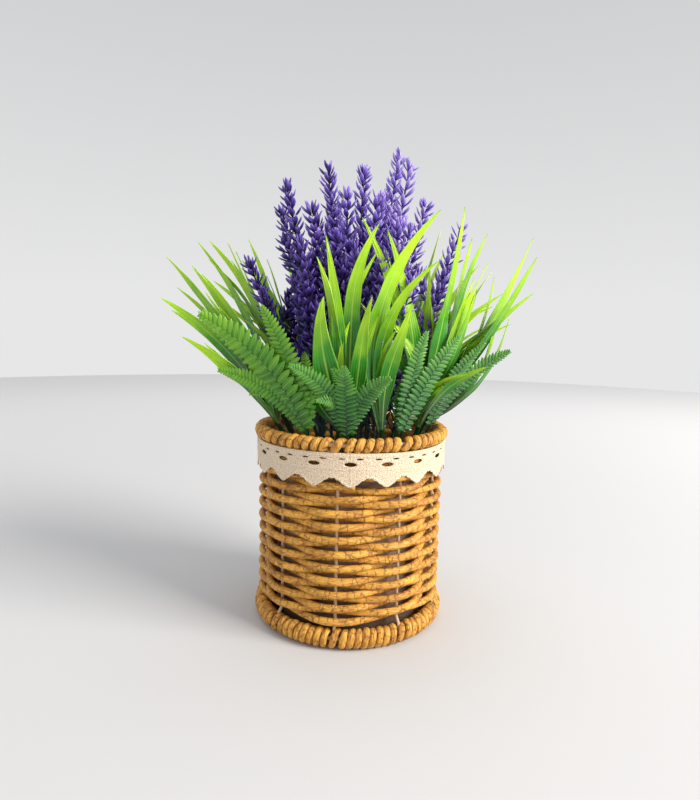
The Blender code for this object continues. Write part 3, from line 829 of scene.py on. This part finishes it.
def leaf_skin(path, facing, width_at, relief_at, thick, share, luck, waves):
    """A leaf round a path. Its face looks along facing, its half width at each point of the
    path is width_at, and both its faces follow the relief, a height for each point of the
    path and place across, from -1 to 1. Waves rock the edges up and down."""
    ahead = headings(path)
    across = unit(np.cross(ahead, facing))
    face = np.cross(across, ahead)
    angle = full_turn(16)
    place = np.cos(angle)
    lift = relief_at(place[None]) + waves[:, None] * place[None] * np.abs(place[None])
    lift = lift + thick / 2 * thin_section(angle)
    rings = path[:, None] - width_at[:, None, None] * place[:, None] * across[:, None]
    rings = rings + lift[..., None] * face[:, None]
    return skin(rings, share=share[None, :, None], tone=place[None, None, :], luck=luck)


def blade_skin(crown, tip, width, bow, rng):
    """A grass blade: narrow at its foot, widest past its middle and pointed, with a raised
    midrib, ribs along it, and edges that wander in and out by a few tenths. It sways along
    its face and bends sideways like an S."""
    share = np.linspace(0, 1, BLADE_RINGS)
    path = bent(crown, tip, bow, share)
    facing = facing_of(tip)
    sway = slow_noise(BLADE_RINGS, 11, rng) * 0.5 * np.sin(np.pi * share)
    bend = np.sin(2 * np.pi * share) * share * rng.uniform(-0.03, 0.03)
    path = path + sway[:, None] * facing
    bend = bend * np.linalg.norm(path[-1] - path[0])
    path = path + bend[:, None] * np.cross(outward_of(tip), UP)
    swell = ease(np.clip(share / 0.42, 0, 1))
    shape = (0.28 + 0.72 * swell) * np.clip((1 - share) / 0.5, 0, 1) ** 0.8
    wander = 1 + 0.07 * slow_noise(BLADE_RINGS, 5, rng) * (1 - share)
    half = 0.14 + (0.25 + width / 2) * shape * wander
    twist = 0.5 * slow_noise(BLADE_RINGS, 14, rng)
    turned = unit(facing) + twist[:, None] * np.cross(headings(path), unit(facing)) * 0.5

    def ribs(place):
        """A rounded midrib and seven fine ribs, on two sides that fold towards each other."""
        fold = 0.55 * (half / 4)[:, None] * (1 - np.abs(place))
        midrib = 0.22 * np.exp(-((place / 0.12) ** 2))
        return midrib + 0.05 * np.cos(place * 2 * np.pi * 3.5) - fold

    waves = 0.45 * slow_noise(BLADE_RINGS, 6, rng) * shape
    thick = 0.5 - 0.36 * share[:, None] ** 4
    return leaf_skin(path, turned, half, ribs, thick, share, rng.uniform(), waves)


def pick_stem(socket, crown, radius, past, points):
    """A pick's stem, from the foot of its socket to a little past its crown."""
    ground = np.array([*socket, FOAM_TOP])
    root = np.array([ground - SOCKET_DEPTH * UP, ground - 5 * UP])
    rise = bent(ground, crown + unit(crown - ground) * past, 0.0, np.linspace(0, 1, points))
    return stem_skin(np.concatenate([root, rise]), radius, 0.05)


def bunch_skins(pick, rng, companions):
    """One pick: its stem, its blades, and companions between them. A companion leaves the same
    crown, and its tip lies near one blade's tip, below it and nearer the middle."""
    socket, crown, blades = pick
    crown = np.array(crown, float)
    skins = [pick_stem(socket, crown, GRASS_STEM, 1.5, 10)]
    for *tip, width, bow in blades:
        skins.append(blade_skin(crown, tip, width, bow, rng))
    for k in range(companions):
        *tip, width, bow = blades[k % len(blades)]
        inward = 4 * unit(np.array([*tip[:2], 0.0]))
        tip = crown + (np.array(tip, float) - crown) * rng.uniform(0.62, 0.9)
        tip = tip + rng.normal(0, 1, 3) * (6, 4, 5) - inward
        slim = width * rng.uniform(0.45, 0.75)
        skins.append(blade_skin(crown, tip, slim, bow + rng.normal(0, 3), rng))
    return skins


def moulded_leaf(name, colours, rib, roughness, stops, stripes):
    """Dyed polyethylene leaf, moulded between engraved plates and airbrushed: satin, with
    darker stripes between its veins, a paler midrib and edge, and a paler tip. Its colours
    stand at the stops, from foot to tip. This run from a dark foot to a pale tip is partly the
    airbrushed dye and partly painted light: painted shade deep in the bunch, and a painted glow
    of light through the thin tips."""
    made, shader, add = new_material(name, roughness)
    share, place, chance = marks_of(add)
    spot = add("TexCoord").outputs["Object"]
    cloud = add("TexNoise", {"Vector": spot, "Scale": 130.0, "Detail": 3.0})
    shade = add("Math", (cloud, 0.28, share), operation="MULTIPLY_ADD")
    shade = add("Math", (chance, 0.26, shade), operation="MULTIPLY_ADD")
    level = add("MapRange", (shade, 0.15, 1.35))
    # Painted light: the ramp from a dark foot to a pale tip also stands for shade deep in the
    # bunch and for light shining through the thin tips.
    body = add("ValToRGB", {"Fac": level})
    fill_ramp(body.color_ramp, stops, colours)
    stripe = add("Math", (place, stripes * np.pi, 0.0), operation="MULTIPLY_ADD")
    stripe = add("Math", (stripe,), operation="COSINE")
    fading = add("MapRange", (share, 0.45, 0.85, 1.0, 0.0))
    stripe = add("Math", (stripe, fading), operation="MULTIPLY")
    groove = add("MapRange", (stripe, -1.0, 1.0, 0.80, 1.04))
    veined = add("Mix", {0: 1.0, 6: body, 7: groove}, blend_type="MULTIPLY")
    beside = add("Math", (place,), operation="ABSOLUTE")
    midrib = add("MapRange", (beside, 0.03, 0.14, 0.5, 0.0))
    border = add("MapRange", (beside, 0.90, 1.0, 0.0, 0.4))
    pale = add("Math", (midrib, border), operation="MAXIMUM")
    tint = add("Mix", {0: pale, 6: veined, 7: rib})
    finish(shader, tint, stripe, 0.35, 0.00012)
    return made


# The pale tip colour is partly painted light, a glow of light through the thin blades.
blade_dye_and_painted_light = ("#05340c", "#2c8a08", "#b6e608")
blade_finish = moulded_leaf(
    "green_grass_polyethylene", blade_dye_and_painted_light, "#a6cc4c", 0.34, (0.18, 0.5, 0.88), 7.0
)
rng = np.random.default_rng(SEED + 2)
for place, pick in GRASS.items():
    companions = len(pick[2]) * (1 if place.startswith("front") else 2)
    blades = bunch_skins(pick, rng, companions)
    name, nodes = "grass_bunch_" + place, ["grass_" + place]
    add_piece(name, blades, blade_finish, nodes, LEAF_CREASE)

# -------- fern picks
# Six low bunches of moulded fern. A frond is a thin rachis with a comb of rounded, ribbed
# leaflets on both sides, which grow shorter towards both ends.

# As for the grass: socket, crown, then each frond's tip, width and bow.
FERNS = {
    "left": ((-20, -28), (-22, -38, 106), (
        (-73, -38, 161, 15, 7), (-43, -42, 165, 11, 3), (-66, -30, 134, 9, 6),
    )),
    "front": ((-2, -35), (-2, -42, 104), (
        (-28, -58, 139, 9, 6), (-4, -58, 139, 9, 2), (17, -58, 134, 9, 5),
    )),
    "right_front": ((22, -28), (25, -35, 106), ((50, -38, 153, 10, 2), (34, -44, 155, 9, 2))),
    "right": ((34, -9), (41, -14, 106), ((64, -30, 150, 10, 3), (80, -18, 146, 10, 5))),
    "back_left": ((-31, 17), (-37, 22, 106), ((-70, 46, 142, 12, 6), (-54, 62, 146, 11, 6))),
    "back_right": ((17, 31), (20, 38, 106), ((34, 76, 144, 12, 6), (64, 58, 140, 11, 6))),
}
FERN_STEM = 1.4
RACHIS = 0.75
FROND_RINGS = 40
LEAFLET_STEP = 0.21  # of the frond's width
CROWDING = 1.3  # over 1, leaflets stand closer towards the tip


def frond_skins(crown, tip, width, bow, rng):
    """A fern frond: leaflets in pairs along a parabola, closer together towards the tip. A
    leaflet leaves at about 80 degrees, is broad from its foot to its round end, and sags a
    little."""
    share = np.linspace(0, 1, FROND_RINGS)
    path = bent(crown, tip, bow, share)
    length = run_along(path)[-1]
    pairs = max(9, int(length / LEAFLET_STEP / width))
    hand = np.tile([1.0, -1.0], pairs)
    step = (np.repeat(np.arange(pairs), 2) + 0.6 + 0.2 * hand) / pairs
    at = 1 - (1 - step) ** CROWDING
    spacing = length * CROWDING * (1 - step) ** (CROWDING - 1) / pairs
    root, ahead = carried(at, share, path)
    across = unit(np.cross(ahead, facing_of(tip))) * hand[:, None]
    face = np.cross(across, ahead) * hand[:, None]
    open_at = np.radians(rng.uniform(76, 82, len(at)) - 30 * at**3)
    way = np.cos(open_at)[:, None] * ahead + np.sin(open_at)[:, None] * across
    reach = (width / 2 * 1.22) * np.sin(np.pi * np.minimum(1, 0.14 + 0.84 * at)) ** 0.6
    reach = np.maximum(reach * rng.uniform(0.94, 1.06, len(at)), 1.4)
    breadth = 0.52 * spacing * rng.uniform(0.95, 1.05, len(at))
    t = np.linspace(0, 1, 7)
    angle = full_turn(10)
    spot = np.cos(angle)
    half = breadth[:, None] * (0.72 + 0.28 * np.sin(np.pi * t)) * (1 - 0.94 * t**4) ** 0.5
    sag = 0.10 * reach[:, None] * (0.6 * t - 1.5 * t**2) + 0.3
    middle = root[:, None] + reach[:, None, None] * t[:, None] * way[:, None]
    middle = middle + sag[..., None] * face[:, None]
    side = unit(np.cross(face, way))
    ridge = 0.06 * np.cos(2 * np.pi * 2.5 * t)[:, None] * np.abs(spot) + 0.3 * (1 - np.abs(spot))
    lift = ridge + 0.16 * thin_section(angle)
    rings = middle[:, :, None] - half[..., None, None] * spot[:, None] * side[:, None, None]
    rings = rings + lift[None, ..., None] * face[:, None, None]
    luck = np.clip(0.5 + 0.4 * rng.normal(size=len(at)), 0, 1)[:, None, None]
    share = (0.75 * at + 0.1)[:, None, None] + 0.25 * t[None, :, None]
    leaflets = skin(rings, share=share, tone=spot[None, None, :], luck=luck)
    return [stem_skin(path, RACHIS, 0.5), leaflets]


def fern_skins(pick, rng):
    """One fern pick: its stem, its fronds, and a smaller frond below and behind each."""
    socket, crown, fronds = pick
    crown = np.array(crown, float)
    skins = [pick_stem(socket, crown, FERN_STEM, 1.0, 8)]
    for *tip, width, bow in fronds:
        skins += frond_skins(crown, tip, width, bow, rng)
    for *tip, width, bow in fronds:
        inward = 6 * unit(np.array([*tip[:2], 0.0]))
        tip = crown + (np.array(tip) - crown) * rng.uniform(0.55, 0.8)
        tip = tip + rng.normal(0, 1, 3) * (5, 3, 4) - inward
        skins += frond_skins(crown, tip, width * 0.8, bow + 2, rng)
    return skins


# As for the grass, the dark feet and pale tips of the fronds are partly painted light.
fern_finish, lime_finish = (
    moulded_leaf(name + "_fern_polyethylene", colours, rib, 0.42, (0.1, 0.5, 0.95), 4.0)
    for name, colours, rib in (
        ("green", ("#06300f", "#17601c", "#5c9c34"), "#8cb868"),
        ("lime", ("#124a10", "#3f840e", "#74b018"), "#92ba58"),
    )
)
rng = np.random.default_rng(SEED + 3)
for place, pick in FERNS.items():
    fronds = fern_skins(pick, rng)
    dye = lime_finish if place == "left" else fern_finish
    name, nodes = "fern_bunch_" + place, ["fern_" + place]
    add_piece(name, fronds, dye, nodes, LEAF_CREASE)

# -------- floor, light and camera
# A plain pale floor under a studio wall that is nearly white low down and greyer above. A
# strong soft light stands at the right, and weak ones at the left and above. The camera looks
# slightly down at the front.

FLOOR_RADII = (0.0, 300.0, 700.0, 1600.0)
FLOOR_SIDES = 96
FLOOR_HEIGHT = -0.4


def pale_floor():
    """Matt painted board: pale grey in the middle; painted light makes it nearly white a metre
    away, where the lamps light it less.
    """
    made, shader, add = new_material("pale_painted_floor", 0.85)
    place = add("TexCoord").outputs["Object"]
    away = add("VectorMath", (place,), operation="LENGTH")
    # Painted light: the board whitens outwards to make up for the lamps' light falling off.
    painted_light_far = add("MapRange", (away, 0.15, 1.1), interpolation_type="SMOOTHSTEP")
    tint = add("Mix", {0: painted_light_far, 6: "#c6c6c8", 7: "#e2e2e4"})
    finish(shader, tint)
    return made


def soft_light(name, spot, aim, size, power, colour):
    """A square soft light at a spot, turned towards the aim. Lengths are in metres."""
    lamp = bpy.data.lights.new(name, "AREA")
    lamp.size = size
    lamp.energy = power
    lamp.color = linear(colour)[:3]
    holder = bpy.data.objects.new(name, lamp)
    holder.location = spot
    away = Vector(spot) - Vector(aim)
    holder.rotation_euler = away.to_track_quat("Z", "Y").to_euler()
    bpy.context.scene.collection.objects.link(holder)


azimuths = np.arange(FLOOR_SIDES) * 360 / FLOOR_SIDES
disc = around(np.array(FLOOR_RADII)[:, None], azimuths, FLOOR_HEIGHT) / 1000
spots = np.arange(len(FLOOR_RADII) * FLOOR_SIDES).reshape(-1, FLOOR_SIDES)[1:]
hub = np.stack([np.zeros(FLOOR_SIDES, int), spots[0], np.roll(spots[0], -1)], -1)
floor_faces = hub.tolist() + quads_between(spots[:-1], spots[1:]).tolist()
floor_mesh = bpy.data.meshes.new("floor")
floor_mesh.from_pydata(disc.reshape(-1, 3).tolist(), [], floor_faces)
floor_mesh.materials.append(pale_floor())
floor_plate = bpy.data.objects.new("studio_floor", floor_mesh)
bpy.context.scene.collection.objects.link(floor_plate)

world = bpy.data.worlds.new("studio_air")
world.use_nodes = True
air = world.node_tree
way = add_node(air, "TexCoord").outputs["Generated"]
steepness = add_node(air, "SeparateXYZ", {0: way}).outputs["Z"]
fall = add_node(air, "MapRange", (steepness, 0.05, 0.5))
wall = add_node(air, "Mix", {0: fall, 6: "#f8f8f9", 7: "#dcddde"})
air.links.new(wall.outputs[2], air.nodes["Background"].inputs["Color"])
air.nodes["Background"].inputs["Strength"].default_value = 0.85
bpy.context.scene.world = world
soft_light("key_light", (1.5, -0.7, 1.05), (0, 0, 0.12), 0.9, 52.0, "#fffaf2")
soft_light("fill_light", (-0.8, -0.7, 0.45), (0, 0, 0.1), 0.8, 1.0, "#f6f8ff")
soft_light("top_light", (-0.05, 0.2, 1.0), (0, 0, 0.12), 0.6, 2.0, "#ffffff")

lens = bpy.data.cameras.new("front_view")
lens.sensor_width = 36.0
lens.lens = 26.16
lens.shift_x = -0.0025
lens.shift_y = -0.0025
lens.clip_start = 0.01
camera = bpy.data.objects.new("front_view", lens)
tilt = Matrix.Rotation(np.pi / 2 - 0.12, 4, "X") @ Matrix.Rotation(0.022, 4, "Z")
camera.matrix_world = Matrix.Translation((0.0, -0.3163, 0.1561)) @ tilt
bpy.context.scene.collection.objects.link(camera)
bpy.context.scene.camera = camera
bpy.context.scene.view_settings.view_transform = "Standard"
